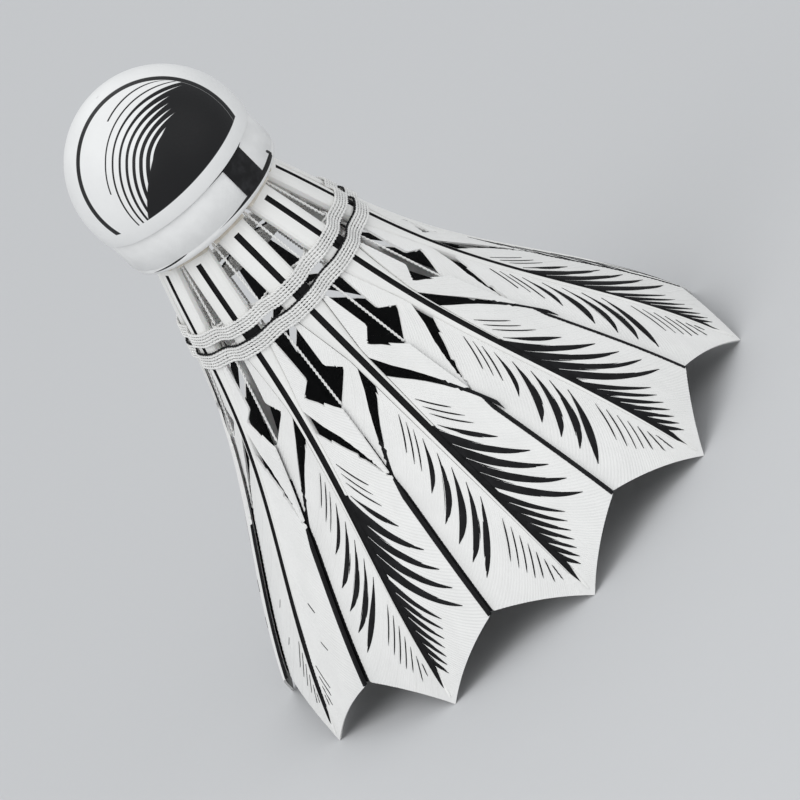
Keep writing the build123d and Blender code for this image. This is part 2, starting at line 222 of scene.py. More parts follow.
class ColourSettings(bpy.types.PropertyGroup):
    """Colours of the finishes"""

    vane: colour("Vane", "White barbs", (0.90, 0.895, 0.88))
    quill: colour("Quill", "Horn of the quills", (0.90, 0.895, 0.875))
    # Ink is the colour of the print and of the painted shade: dark barbs, grooves, seams, bands and lines.
    ink: colour("Ink", "Dark barbs, grooves and print", (0.012, 0.012, 0.013))
    # The inside colour is painted shade on the vanes' inner faces, up in the throat.
    inside: colour("Inside", "Vanes' inner faces up in the throat", (0.035, 0.035, 0.037))
    skin: colour("Skin", "Coated leather", (0.90, 0.90, 0.895))
    ribbon: colour("Ribbon", "Woven ribbon", (0.89, 0.89, 0.885))
    thread: colour("Thread", "Binding thread", (0.90, 0.895, 0.88))
    cork: colour("Cork", "Bare cork", (0.56, 0.37, 0.20))
    glue: colour("Glue", "Set glue", (0.84, 0.81, 0.73))
    floor: colour("Floor", "Floor", (0.62, 0.625, 0.635))


class StageSettings(bpy.types.PropertyGroup):
    """Camera and light"""

    elevation: angle("Elevation", "Camera above the level of the cork and skirt", 21.6)
    roll: angle("Roll", "Camera's roll, which lays the shuttlecock's axis on the picture's diagonal", 45.0)
    lens: FloatProperty(name="Lens", description="Focal length in millimetres", default=1600.0)
    span: length("Span", "Width of what the camera sees at the shuttlecock", 0.1067)


SETTINGS = {
    "skirt": SkirtSettings,
    "vane": VaneSettings,
    "streak": StreakSettings,
    "shaft": ShaftSettings,
    "thread": ThreadSettings,
    "cork": CorkSettings,
    "tone": ColourSettings,
    "stage": StageSettings,
}


def settings(context, group):
    """One of the add-on's groups of settings."""
    return getattr(context.scene, "shuttlecock_" + group)


# ---- Form of the skirt and its feathers ----
def skirt_radius(skirt, height):
    """Axis to the shafts' outer faces at this height."""
    way_down = 1 - height / skirt.height
    bow = sin(2 * pi * (way_down - skirt.swell_place)) + sin(2 * pi * skirt.swell_place)
    return skirt.ring + (skirt.rim - skirt.ring) * way_down + skirt.swell * bow


def half_pitch(skirt):
    """Half the angle from one feather to the next."""
    return pi / skirt.feathers


def between(value, low, high):
    """Value on the line between two (place, value) stations."""
    way = (value - low[0]) / (high[0] - low[0])
    return low[1] + way * (high[1] - low[1])


def at_station(height, stations):
    """Value at this height from (height, value) stations, lowest first."""
    for low, high in zip(stations, stations[1:]):
        if height <= high[0]:
            return between(max(height, low[0]), low, high)
    return stations[-1][1]


class Heights:
    """Heights of a feather's features, worked out from the settings."""

    def __init__(self, context):
        skirt = settings(context, "skirt")
        vane = settings(context, "vane")
        thread = settings(context, "thread")
        self.upper_binding = skirt.height - thread.drop
        self.lower_binding = self.upper_binding - thread.pitch
        self.vane_top = self.lower_binding - thread.width - thread.clearance
        self.strip_corner = self.vane_top - vane.strip_length
        self.web_root = self.strip_corner - vane.window_step
        self.window_point = self.web_root - vane.point_drop
        self.sliver_top = self.web_root - vane.sliver_drop
        self.sliver_mouth = self.sliver_top - vane.sliver_mouth
        self.sliver_bend = self.sliver_mouth - vane.sliver_bend_drop
        self.sliver_end = self.sliver_bend - vane.sliver_run


class ShaftForm:
    """Width, thickness and groove of a shaft at any height."""

    def __init__(self, context):
        shaft = settings(context, "shaft")
        skirt = settings(context, "skirt")
        heights = Heights(context)
        self.top = skirt.height + shaft.root_depth
        self.point = shaft.point_height
        stations = (shaft.point_height, shaft.end_height, heights.web_root, heights.vane_top, skirt.height, self.top)
        widths = (
            0.25 * shaft.end_width,
            shaft.end_width,
            shaft.rachis_width,
            shaft.bound_width,
            shaft.quill_width,
            shaft.root_width,
        )
        depths = (
            0.4 * shaft.end_thickness,
            shaft.end_thickness,
            shaft.rachis_thickness,
            shaft.bound_thickness,
            shaft.quill_thickness,
            shaft.root_thickness,
        )
        self.widths = list(zip(stations, widths))
        self.depths = list(zip(stations, depths))
        self.line = shaft.line_width / 2
        self.shift = shaft.line_shift
        self.groove = shaft.groove
        self.line_top = skirt.height - shaft.line_start

    def half(self, height):
        """Half the shaft's width, which is nothing below its point."""
        if height < self.point:
            return 0.0
        return at_station(height, self.widths) / 2

    def depth(self, height):
        """Radial thickness."""
        return at_station(height, self.depths)


def circle_through(first, second, third):
    """Centre and radius of the circle through three points of a plane."""
    (ax, ay), (bx, by), (cx, cy) = first, second, third
    turn = 2 * (ax * (by - cy) + bx * (cy - ay) + cx * (ay - by))
    a2 = ax * ax + ay * ay
    b2 = bx * bx + by * by
    c2 = cx * cx + cy * cy
    x = (a2 * (by - cy) + b2 * (cy - ay) + c2 * (ay - by)) / turn
    y = (a2 * (cx - bx) + b2 * (ax - cx) + c2 * (bx - ax)) / turn
    return x, y, sqrt((ax - x) ** 2 + (ay - y) ** 2)


def arc_height(arc, x):
    """Height of the upper half of a circle at x."""
    return arc[1] + sqrt(max(0.0, arc[2] ** 2 - (x - arc[0]) ** 2))


class Web:
    """One side of a vane: side +1 leads and lies over its neighbour, side -1 trails under it."""

    def __init__(self, context, side, closed):
        self.skirt = settings(context, "skirt")
        self.vane = settings(context, "vane")
        self.heights = Heights(context)
        self.shaft = ShaftForm(context)
        self.streak = settings(context, "streak")
        self.side = side
        skirt, vane, heights = self.skirt, self.vane, self.heights
        half = half_pitch(skirt)
        edge = skirt_radius(skirt, vane.notch) * sin(half)
        self.seam_top = heights.sliver_end + vane.seam_start
        self.tuck_top = heights.sliver_end + vane.tuck_start
        self.rim_edge = edge
        self.rim = circle_through(
            (0, 0), (edge * vane.rise_place, vane.notch * vane.rise), (edge, vane.notch)
        )
        self.corner = skirt_radius(skirt, heights.window_point) * sin(half)
        start = self.shaft.half(heights.sliver_top) + vane.sliver_shoulder
        end = skirt_radius(skirt, heights.sliver_end) * sin(half) + vane.sliver_thin
        thin = vane.sliver_thin / 2
        tops = [(start, heights.sliver_top), (vane.sliver_bend + thin, heights.sliver_bend + thin)]
        lows = [(start, heights.sliver_mouth), (vane.sliver_bend - thin, heights.sliver_bend - thin)]
        upper = circle_through(*tops, (end + vane.sliver_thin, heights.sliver_end))
        lower = circle_through(*lows, (end, heights.sliver_end))
        if closed:
            end -= vane.sliver_close
            tip = (end, (arc_height(upper, end) + arc_height(lower, end)) / 2)
            upper = circle_through(*tops, tip)
            lower = circle_through(*lows, tip)
        self.sliver_start = start
        self.sliver_stop = end
        self.sliver_upper = upper
        self.sliver_lower = lower

    def edge(self, height, turn):
        """Distance from the shaft's axis to the ray at this turn from it, along X."""
        signed = self.side * turn
        radius = skirt_radius(self.skirt, height) - self.vane.setback
        offset = self.skirt.tilt_offset
        along = offset * sin(signed) + sqrt(radius**2 - (offset * cos(signed)) ** 2)
        return abs(along * sin(signed))

    def limit(self, height):
        """Distance from the shaft's axis to the web's outer edge."""
        if self.side > 0:
            return self.edge(height, half_pitch(self.skirt)) - self.vane.seam_open
        if height < self.tuck_top:
            return self.edge(height, half_pitch(self.skirt)) - self.shadow_seam_width(height)
        return self.edge(height, half_pitch(self.skirt) + self.skirt.lap)

    def seam_share(self, height):
        """Share of the seam's full width, which starts as a point beside the slivers' ends."""
        way = (self.seam_top - height) / self.vane.seam_start
        return min(1.0, 1.5 * max(0.0, way))

    def shadow_seam_width(self, height):
        """Width of the trailing web's dark margin of painted shadow."""
        return self.vane.seam * self.seam_share(height)

    def rim_height(self, x):
        """Height of the scalloped rim at this distance from the shaft's axis."""
        if x >= self.rim_edge:
            return self.vane.notch
        return arc_height(self.rim, x)

    def window_limit(self, height):
        """Edge of the web beside the window between two feathers."""
        heights, vane = self.heights, self.vane
        if height >= heights.strip_corner:
            top = (heights.vane_top, vane.strip_top)
            return between(height, (heights.strip_corner, vane.strip_end), top)
        if height >= heights.web_root:
            corner = (heights.strip_corner, vane.strip_end)
            return between(height, (heights.web_root, vane.root_width), corner)
        root = (heights.web_root, vane.root_width)
        return between(height, (heights.window_point, self.corner), root)

    def in_sliver(self, x, height):
        """True inside the curved slit between root web and main web."""
        if not self.sliver_start < x < self.sliver_stop:
            return False
        return arc_height(self.sliver_lower, x) < height < arc_height(self.sliver_upper, x)

    def holds(self, x, height):
        """True where the web has barbs."""
        if height > self.heights.vane_top or height < self.rim_height(x):
            return False
        if x < self.shaft.half(height) + self.vane.gap or x > self.limit(height):
            return False
        if height > self.heights.window_point and x > self.window_limit(height):
            return False
        return not self.in_sliver(x, height)

    def drop(self, x):
        """How far a barb has come down towards the tip at this distance from the axis."""
        start = self.vane.barb_angle
        return log(sin(start + self.vane.barb_turn * x) / sin(start)) / self.vane.barb_turn

    def point(self, x, height, lift):
        """Place on the vane's sheet, lift above its outer face, for the feather that points to -Y."""
        across = self.side * x
        radius = skirt_radius(self.skirt, height) - self.vane.setback + lift
        reach = sqrt(radius**2 - (across - self.skirt.tilt_offset) ** 2)
        return Vector((across, -reach, height))

    def runs(self, root):
        """Stretches, as (start, stop) distances, along which a barb from this root has web."""
        step = 0.00012
        widest = self.skirt.rim * sin(half_pitch(self.skirt) + self.skirt.lap) * 1.05
        found = []
        inside = False
        start = 0.0
        x = 0.0
        while x < widest:
            now = self.holds(x, root - self.drop(x))
            if now and not inside:
                start = self.crossing(root, x - step, x, False)
            if inside and not now:
                found.append((start, self.crossing(root, x - step, x, True)))
            inside = now
            x += step
        return [run for run in found if run[1] - run[0] > 3 * step]

    def crossing(self, root, low, high, leaving):
        """Distance between low and high where a barb enters or leaves the web."""
        for _ in range(9):
            middle = (low + high) / 2
            if self.holds(max(0.0, middle), root - self.drop(max(0.0, middle))) == leaving:
                low = middle
            else:
                high = middle
        return (low + high) / 2


# ---- Mesh tools ----
class MeshBuilder:
    """Gathers points, faces and each face's material, and makes one object from them."""

    def __init__(self):
        self.points = []
        self.faces = []
        self.slots = []

    def tube(self, rings, slot_of, closed_path=False):
        """Skin rings of points into a closed tube, with slot_of(segment, side) as each face's material."""
        start = len(self.points)
        sides = len(rings[0])
        for ring in rings:
            self.points.extend(ring)
        segments = len(rings) if closed_path else len(rings) - 1
        for segment in range(segments):
            here = start + segment * sides
            after = start + ((segment + 1) % len(rings)) * sides
            for side in range(sides):
                turn = (side + 1) % sides
                self.faces.append((here + side, here + turn, after + turn, after + side))
                self.slots.append(slot_of(segment, side))
        if not closed_path:
            last = start + (len(rings) - 1) * sides
            self.faces.append(tuple(range(start + sides - 1, start - 1, -1)))
            self.slots.append(slot_of(0, 0))
            self.faces.append(tuple(range(last, last + sides)))
            self.slots.append(slot_of(segments - 1, 0))

    def build(self, name, materials, turn=0.0, smooth=False):
        """Make the object, turned about +Z, with these materials."""
        mesh = bpy.data.meshes.new(name)
        spin = Matrix.Rotation(turn, 3, "Z")
        mesh.from_pydata([spin @ Vector(point) for point in self.points], [], self.faces)
        for material in materials:
            mesh.materials.append(material)
        mesh.polygons.foreach_set("material_index", self.slots)
        mesh.polygons.foreach_set("use_smooth", [smooth] * len(mesh.polygons))
        face_outward(mesh)
        piece = bpy.data.objects.new(name, mesh)
        bpy.context.scene.collection.objects.link(piece)
        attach(piece, "root")
        return piece


def face_outward(mesh):
    """Turn every face of a mesh so that it faces outward."""
    work = bmesh.new()
    work.from_mesh(mesh)
    bmesh.ops.recalc_face_normals(work, faces=work.faces)
    work.to_mesh(mesh)
    work.free()
    mesh.update()


def plain(slot):
    """A slot_of function that gives every face the same material."""
    return lambda segment, side: slot


# ---- Finishes ----
class Finish:
    """A new material with short ways to add and join its nodes. Its coordinates are metres in the row frame."""

    def __init__(self, name, roughness=0.6, specular=0.4):
        self.material = bpy.data.materials.new(name)
        self.material.use_nodes = True
        self.nodes = self.material.node_tree.nodes
        self.links = self.material.node_tree.links
        self.shader = self.nodes["Principled BSDF"]
        self.shader.inputs["Roughness"].default_value = roughness
        self.shader.inputs["Specular IOR Level"].default_value = specular
        self.place = self.nodes.new("ShaderNodeTexCoord").outputs["Object"]

    def put(self, value, socket):
        """Join an output to a socket, or set the socket to a plain value."""
        if isinstance(value, bpy.types.NodeSocket):
            self.links.new(value, socket)
        else:
            socket.default_value = value

    def maths(self, operation, first, second=0.0, third=0.0):
        """A Math node's result."""
        node = self.nodes.new("ShaderNodeMath")
        node.operation = operation
        for socket, value in zip(node.inputs, (first, second, third)):
            self.put(value, socket)
        return node.outputs[0]

    def stretched(self, stretch):
        """The coordinates, stretched by a factor along each axis."""
        node = self.nodes.new("ShaderNodeMapping")
        self.put(self.place, node.inputs["Vector"])
        node.inputs["Scale"].default_value = stretch
        return node.outputs[0]

    def noise(self, scale, detail=4.0, stretch=(1, 1, 1)):
        """Noise, from about 0 to 1."""
        node = self.nodes.new("ShaderNodeTexNoise")
        self.put(self.stretched(stretch), node.inputs["Vector"])
        node.inputs["Scale"].default_value = scale
        node.inputs["Detail"].default_value = detail
        return node.outputs["Fac"]

    def cells(self, scale, feature="F1", stretch=(1, 1, 1)):
        """Distance within rounded cells."""
        node = self.nodes.new("ShaderNodeTexVoronoi")
        node.feature = feature
        self.put(self.stretched(stretch), node.inputs["Vector"])
        node.inputs["Scale"].default_value = scale
        return node.outputs["Distance"]

    def coordinate(self, axis):
        """One of the coordinates."""
        node = self.nodes.new("ShaderNodeSeparateXYZ")
        self.put(self.place, node.inputs[0])
        return node.outputs[axis]

    def around(self):
        """Turn about the axis from the first feather, towards +X."""
        return self.maths("ARCTAN2", self.coordinate("X"), self.maths("MULTIPLY", self.coordinate("Y"), -1.0))

    def both(self, first, second):
        """1 where both are 1."""
        return self.maths("MULTIPLY", first, second)

    def ease(self, value, low, high, start=0.0, stop=1.0):
        """Value eased from start at low to stop at high."""
        node = self.nodes.new("ShaderNodeMapRange")
        node.interpolation_type = "SMOOTHSTEP"
        for name, setting in zip(("Value", "From Min", "From Max", "To Min", "To Max"), (value, low, high, start, stop)):
            self.put(setting, node.inputs[name])
        return node.outputs[0]

    def blend(self, factor, first, second):
        """A colour between two colours."""
        node = self.nodes.new("ShaderNodeMix")
        node.data_type = "RGBA"
        sockets = [socket for socket in node.inputs if socket.enabled]
        for socket, value in zip(sockets, (factor, first, second)):
            self.put(value, socket)
        return [socket for socket in node.outputs if socket.enabled][0]

    def colour(self, value):
        """Set the base colour."""
        self.put(value, self.shader.inputs["Base Color"])

    def roughness(self, value):
        """Set the roughness."""
        self.put(value, self.shader.inputs["Roughness"])

    def bump(self, height, distance, strength=1.0):
        """Raise the surface by height times a distance in metres."""
        node = self.nodes.new("ShaderNodeBump")
        node.inputs["Distance"].default_value = distance
        node.inputs["Strength"].default_value = strength
        self.put(height, node.inputs["Height"])
        self.put(node.outputs[0], self.shader.inputs["Normal"])


def shade(tone, factor):
    """A colour with its brightness changed, as red, green, blue and alpha."""
    return tuple(min(1.0, part * factor) for part in tone) + (1.0,)


def vane_finish(tone):
    """White barbs with faint cross streaks, fine barbules and a silky sheen."""
    finish = Finish("white_barbs", specular=0.3)
    streaks = finish.noise(420, 3, (1, 1, 0.25))
    mottle = finish.noise(70, 2)
    barbules = finish.noise(5200, 2, (1, 1, 0.5))
    mixed = finish.maths("MULTIPLY_ADD", streaks, 0.6, finish.maths("MULTIPLY", mottle, 0.4))
    finish.colour(finish.blend(finish.ease(mixed, 0.3, 0.7), shade(tone.vane, 0.955), shade(tone.vane, 1.01)))
    finish.roughness(finish.ease(barbules, 0.2, 0.8, 0.52, 0.7))
    finish.bump(barbules, 0.00003, 0.5)
    finish.shader.inputs["Sheen Weight"].default_value = 0.12
    finish.shader.inputs["Sheen Roughness"].default_value = 0.4
    return finish.material


def painted_shade_inside_finish(tone):
    """Painted shade on the inner faces of the vanes: off-white along the rim, deep grey further up in the throat."""
    finish = Finish("shaded_barbs", specular=0.15)
    streaks = finish.noise(520, 3, (1, 1, 0.25))
    height = finish.coordinate("Z")
    wavered = finish.maths("MULTIPLY_ADD", streaks, 0.003, height)
    finish.colour(finish.blend(finish.ease(wavered, 0.001, 0.007), shade(tone.vane, 0.8), shade(tone.inside, 1)))
    finish.roughness(finish.ease(streaks, 0.2, 0.8, 0.65, 0.85))
    finish.bump(streaks, 0.00004, 0.5)
    return finish.material


def painted_shade_finish(tone):
    """Painted shade for the dark barbs, grooves, bands, backings and the dark binding ply, with a slight difference
    from strand to strand.
    """
    finish = Finish("dark_barbs", specular=0.12)
    strands = finish.noise(900, 3, (1, 1, 0.3))
    finish.colour(finish.blend(finish.ease(strands, 0.3, 0.75), shade(tone.ink, 0.7), shade(tone.ink, 1.5)))
    finish.roughness(finish.ease(strands, 0.2, 0.8, 0.6, 0.85))
    finish.bump(strands, 0.00003, 0.5)
    return finish.material


def quill_finish(tone):
    """Smooth pale horn with lengthwise fibres."""
    finish = Finish("quill_horn", specular=0.4)
    fibres = finish.noise(1800, 3, (1, 1, 0.04))
    clouds = finish.noise(110, 2, (1, 1, 0.5))
    finish.colour(finish.blend(finish.ease(clouds, 0.3, 0.7), shade(tone.quill, 0.965), shade(tone.quill, 1.03)))
    finish.roughness(finish.ease(fibres, 0.2, 0.8, 0.32, 0.48))
    finish.bump(fibres, 0.00002, 0.5)
    finish.shader.inputs["Subsurface Weight"].default_value = 0.05
    finish.shader.inputs["Subsurface Scale"].default_value = 0.0006
    return finish.material


def painted_shade_horn_finish(context):
    """Horn with painted shade: the dark groove down its middle, which on all but the faint feathers covers its
    leading half beside the dark barbs and between the bindings.
    """
    tone, shaft, streak = (settings(context, group) for group in ("tone", "shaft", "streak"))
    places = Heights(context)
    finish = Finish("marked_horn", specular=0.16)
    height = finish.coordinate("Z")
    pitch = 2 * half_pitch(settings(context, "skirt"))
    feather = finish.maths("ROUND", finish.maths("DIVIDE", finish.around(), pitch))
    off = finish.maths("MULTIPLY_ADD", feather, -pitch, finish.around())
    x, y = finish.coordinate("X"), finish.coordinate("Y")
    radius = finish.maths("SQRT", finish.maths("MULTIPLY_ADD", x, x, finish.maths("MULTIPLY", y, y)))
    across = finish.maths("MULTIPLY", radius, finish.maths("SINE", off))
    from_end = finish.maths("SUBTRACT", height, shaft.line_end)
    near_end = finish.maths("MAXIMUM", finish.maths("SUBTRACT", 0.0015, from_end), 0.0)
    left = finish.maths("MULTIPLY_ADD", near_end, 0.15, shaft.line_shift - shaft.line_width / 2)
    below_top = finish.maths("MAXIMUM", finish.maths("SUBTRACT", streak.painted_shade_top, height), 0.0)
    low, high = places.lower_binding, places.upper_binding - settings(context, "thread").width
    between_bindings = finish.both(finish.maths("GREATER_THAN", height, low), finish.maths("LESS_THAN", height, high))
    widened = finish.maths("ADD", finish.maths("MULTIPLY", below_top, 0.8), finish.maths("MULTIPLY", between_bindings, 0.01))
    faint = finish.maths("LESS_THAN", finish.maths("ABSOLUTE", finish.maths("ADD", feather, settings(context, "skirt").feathers - streak.faint_first + 0.5)), 1.0)
    widened = finish.both(widened, finish.maths("SUBTRACT", 1.0, faint))
    right = finish.maths("ADD", widened, shaft.line_shift + shaft.line_width / 2)
    right = finish.maths("MINIMUM", right, finish.maths("MULTIPLY_ADD", from_end, 0.22, -0.0001))
    soft = 0.000015
    # Painted shade: dark in the groove, over the leading half below the top, and between the bindings.
    dark = finish.ease(finish.maths("SUBTRACT", across, left), -soft, soft)
    dark = finish.both(dark, finish.ease(finish.maths("SUBTRACT", right, across), -soft, soft))
    top = settings(context, "skirt").height - shaft.line_start
    dark = finish.both(dark, finish.maths("LESS_THAN", height, top))
    fibres = finish.noise(1800, 3, (1, 1, 0.04))
    clouds = finish.noise(110, 2, (1, 1, 0.5))
    horn = finish.blend(finish.ease(clouds, 0.3, 0.7), shade(tone.quill, 0.965), shade(tone.quill, 1.03))
    ink = finish.blend(finish.ease(fibres, 0.3, 0.75), shade(tone.ink, 0.5), shade(tone.ink, 0.95))
    finish.colour(finish.blend(dark, horn, ink))
    finish.roughness(finish.maths("MULTIPLY_ADD", dark, 0.25, finish.ease(fibres, 0.2, 0.8, 0.36, 0.5)))
    finish.bump(fibres, 0.00002, 0.5)
    return finish.material


def thread_finish(tone):
    """White spun thread with a little lint."""
    finish = Finish("spun_thread", specular=0.25)
    fibres = finish.noise(6500, 3)
    clouds = finish.noise(600, 2)
    finish.colour(finish.blend(finish.ease(clouds, 0.3, 0.7), shade(tone.thread, 0.93), shade(tone.thread, 1.01)))
    finish.roughness(finish.ease(fibres, 0.2, 0.8, 0.6, 0.8))
    finish.bump(fibres, 0.00004, 0.6)
    finish.shader.inputs["Sheen Weight"].default_value = 0.15
    return finish.material


def tapered_line(finish, span, heights, width, lean):
    """1 on a line round the axis between two turns, from one height to another: pointed, widest where it leans."""
    start, stop = (radians(turn) for turn in span)
    way = finish.maths("DIVIDE", finish.maths("SUBTRACT", finish.around(), start), stop - start)
    way = finish.maths("MINIMUM", finish.maths("MAXIMUM", way, 0.0), 1.0)
    swell = finish.maths("SUBTRACT", finish.maths("POWER", way, lean), finish.maths("POWER", way, 6 * lean))
    half = finish.maths("MULTIPLY_ADD", swell, 0.86 * width, -0.00003)
    level = finish.maths("MULTIPLY_ADD", way, heights[1] - heights[0], heights[0])
    off = finish.maths("ABSOLUTE", finish.maths("SUBTRACT", finish.coordinate("Z"), level))
    return finish.ease(finish.maths("SUBTRACT", off, half), -0.00002, 0.00002, 1.0, 0.0)


def upright_line(finish, turn, low, high, span):
    """1 on a short line up the ribbon, leaning back a little, with a round end at both heights."""
    half = span / 2
    height = finish.coordinate("Z")
    beyond = finish.maths("MAXIMUM", finish.maths("SUBTRACT", height, high), finish.maths("SUBTRACT", low, height))
    beyond = finish.maths("MAXIMUM", beyond, 0.0)
    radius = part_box("ribbon")[1][0]
    leaning = finish.maths("MULTIPLY_ADD", finish.maths("SUBTRACT", height, low), -40.0, radians(turn))
    aside = finish.maths("MULTIPLY", finish.maths("SUBTRACT", finish.around(), leaning), radius)
    squares = finish.maths("MULTIPLY_ADD", beyond, beyond, finish.maths("MULTIPLY", aside, aside))
    return finish.ease(finish.maths("SQRT", squares), half - 0.00002, half + 0.00002, 1.0, 0.0)


def ribbon_finish(tone):
    """Ribbon with a fine plain weave, white with a few tapered dark lines of painted shade along its edges."""
    finish = Finish("woven_ribbon", specular=0.3)
    low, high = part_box("ribbon")
    fold = low[2] + 0.00130
    # Painted shade lines: in the crease at the fold, under the skin's edge at the top, and up the side.
    lines = (
        tapered_line(finish, (-9, 76), (fold, fold), 0.00090, 1.1),
        tapered_line(finish, (-63, -28), (fold - 0.0004, fold + 0.0002), 0.00036, 0.6),
        tapered_line(finish, (4, 47), (high[2] - 0.00012, high[2] - 0.00012), 0.00055, 1.2),
    )
    painted_shade_inked = finish.maths("MAXIMUM", lines[0], finish.maths("MAXIMUM", lines[1], lines[2]))
    painted_shade_inked = finish.both(painted_shade_inked, finish.maths("LESS_THAN", finish.around(), radians(60.5)))
    painted_shade_inked = finish.maths("MAXIMUM", painted_shade_inked, upright_line(finish, 60, fold + 0.0001, low[2] + 0.0020, 0.0006))
    warp = finish.maths("SINE", finish.maths("MULTIPLY", finish.around(), 300.0))
    weft = finish.maths("SINE", finish.maths("MULTIPLY", finish.coordinate("Z"), 2 * pi / 0.00027))
    weave = finish.maths("MULTIPLY", warp, weft)
    clouds = finish.noise(420, 2)
    white = finish.blend(finish.ease(clouds, 0.3, 0.7), shade(tone.ribbon, 0.95), shade(tone.ribbon, 1.01))
    finish.colour(finish.blend(painted_shade_inked, white, shade(tone.ink, 1.0)))
    finish.roughness(finish.ease(weave, -1.0, 1.0, 0.62, 0.5))
    finish.bump(weave, 0.000012, 0.7)
    return finish.material


def block_finish(tone):
    """Matt dark print on the ribbon."""
    finish = Finish("block_print", specular=0.2)
    wear = finish.noise(900, 4)
    finish.colour(finish.blend(finish.ease(wear, 0.35, 0.75), shade(tone.ink, 0.8), shade(tone.ink, 2.2)))
    finish.roughness(finish.ease(wear, 0.2, 0.8, 0.5, 0.75))
    finish.bump(wear, 0.00002, 0.5)
    return finish.material


def cork_finish(tone):
    """Bare cork with dark pits and pale grains."""
    finish = Finish("bare_cork", specular=0.25)
    grains = finish.cells(900)
    pits = finish.noise(1500, 5)
    dark = finish.blend(finish.ease(grains, 0.1, 0.7), shade(tone.cork, 0.72), shade(tone.cork, 1.15))
    finish.colour(finish.blend(finish.ease(pits, 0.62, 0.74), dark, shade(tone.cork, 0.32)))
    finish.roughness(finish.ease(pits, 0.2, 0.8, 0.7, 0.9))
    finish.bump(grains, 0.00008, 0.6)
    return finish.material


def glue_finish(tone):
    """Glossy set glue."""
    finish = Finish("set_glue", specular=0.5)
    runs = finish.noise(700, 2)
    finish.colour(finish.blend(finish.ease(runs, 0.3, 0.7), shade(tone.glue, 0.9), shade(tone.glue, 1.08)))
    finish.roughness(finish.ease(runs, 0.2, 0.8, 0.12, 0.3))
    finish.bump(runs, 0.00005, 0.4)
    finish.shader.inputs["Transmission Weight"].default_value = 0.15
    return finish.material


def direction(turn, rise):
    """Unit vector at this turn from -Y towards +X and this rise above the level."""
    return Vector((sin(turn) * cos(rise), -cos(turn) * cos(rise), sin(rise)))


class PrintAndPaintedShade(Finish):
    """Coated skin whose print and painted shade are drawn by their angles from a few axes through the dome's centre.
    """

    def __init__(self, name, centre):
        super().__init__(name, specular=0.22)
        offset = self.nodes.new("ShaderNodeVectorMath")
        offset.operation = "SUBTRACT"
        self.put(self.place, offset.inputs[0])
        offset.inputs[1].default_value = (0, 0, centre)
        unit = self.nodes.new("ShaderNodeVectorMath")
        unit.operation = "NORMALIZE"
        self.put(offset.outputs[0], unit.inputs[0])
        self.offset = offset.outputs[0]
        self.unit = unit.outputs[0]

    def along(self, axis):
        """Distance along an axis from the dome's centre, in millimetres."""
        node = self.nodes.new("ShaderNodeVectorMath")
        node.operation = "DOT_PRODUCT"
        self.put(self.offset, node.inputs[0])
        node.inputs[1].default_value = axis * 1000
        return node.outputs["Value"]

    def off_axis(self, axis):
        """Angle from an axis."""
        node = self.nodes.new("ShaderNodeVectorMath")
        node.operation = "DOT_PRODUCT"
        self.put(self.unit, node.inputs[0])
        node.inputs[1].default_value = axis
        return self.maths("ARCCOSINE", node.outputs["Value"])

    def inside(self, off_axis, radius):
        """1 inside a cap of this angular radius, 0 outside, with a soft edge as ink has."""
        soft = radians(0.25)
        return self.ease(off_axis, radius - soft, radius + soft, 1.0, 0.0)


def hatching(finish, cork):
    """1 on the hatching arcs of painted shade beside the dark part: even arcs of one bend, thicker towards the dark
    part and the ring.
    """
    upward = Vector((0, sin(cork.ring_rise), cos(cork.ring_rise)))
    sideways = Vector((1, 0, 0))
    over = finish.along((sideways - upward) / sqrt(2))
    down = finish.along((-sideways - upward) / sqrt(2))
    bend = cork.hatch_bend * 1000
    upper = finish.maths("MAXIMUM", finish.maths("MULTIPLY", down, -1.0), 0.0)
    away = finish.maths("MAXIMUM", upper, finish.maths("SUBTRACT", down, 0.35))
    squared = finish.maths("MULTIPLY", away, away)
    root = finish.maths("SQRT", finish.maths("MAXIMUM", finish.maths("SUBTRACT", bend * bend, squared), 0.0))
    sweep = finish.maths("SUBTRACT", bend, root)
    across = finish.maths("SUBTRACT", finish.maths("ADD", over, cork.hatch_start * 1000), sweep)
    fanned = finish.both(sweep, finish.maths("LESS_THAN", down, 0.0))
    place = finish.maths("DIVIDE", across, finish.maths("MULTIPLY_ADD", fanned, 0.15, cork.hatch_step * 1000))
    off = finish.maths("PINGPONG", place, 0.5)
    growth = finish.maths("MULTIPLY_ADD", finish.maths("POWER", upper, 4.0), 0.000022, 0.034)
    thick = finish.maths("MULTIPLY_ADD", finish.maths("MAXIMUM", place, 0.0), growth, 0.095)
    line = finish.ease(finish.maths("SUBTRACT", off, thick), -0.02, 0.02, 1.0, 0.0)
    first = finish.maths("SUBTRACT", finish.maths("GREATER_THAN", down, 4.3), 0.5)
    first = finish.maths("SUBTRACT", first, finish.maths("LESS_THAN", down, -5.4))
    last = finish.maths("LESS_THAN", place, 7.0)
    return finish.both(line, finish.both(finish.maths("GREATER_THAN", place, first), last))


